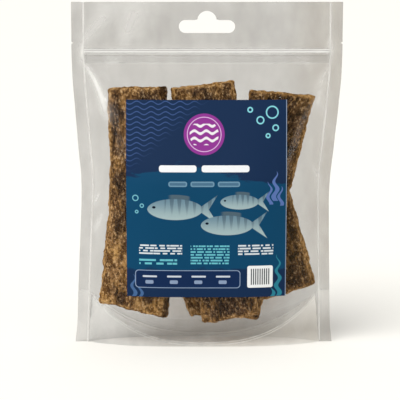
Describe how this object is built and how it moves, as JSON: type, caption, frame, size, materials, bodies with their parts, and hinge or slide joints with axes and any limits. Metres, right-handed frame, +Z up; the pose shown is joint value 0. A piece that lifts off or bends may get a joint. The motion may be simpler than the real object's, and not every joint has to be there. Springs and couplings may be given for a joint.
{
  "type": "clear stand-up pouch of dried fish skin",
  "caption": "Clear plastic stand-up pouch with a press-to-close zip, a hang hole and a printed front label, filled with dried fish skin strips.",
  "frame": {"origin": "on the floor, under the middle of the pouch", "axes": "+Z up, the labelled front faces -Y, +X to the right seen from the front"},
  "size_m": [0.16, 0.0416, 0.205],
  "materials": {
    "film": "clear, slightly milky plastic film, soft and glossy",
    "label_print": "satin coated label, printed in navy, teal and white",
    "dried_skin": "dried fish skin, golden brown to near black, rough with small glints"
  },
  "bodies": {
    "root": {"pouch": "film", "label": "label_print"}
  },
  "joints": []
}
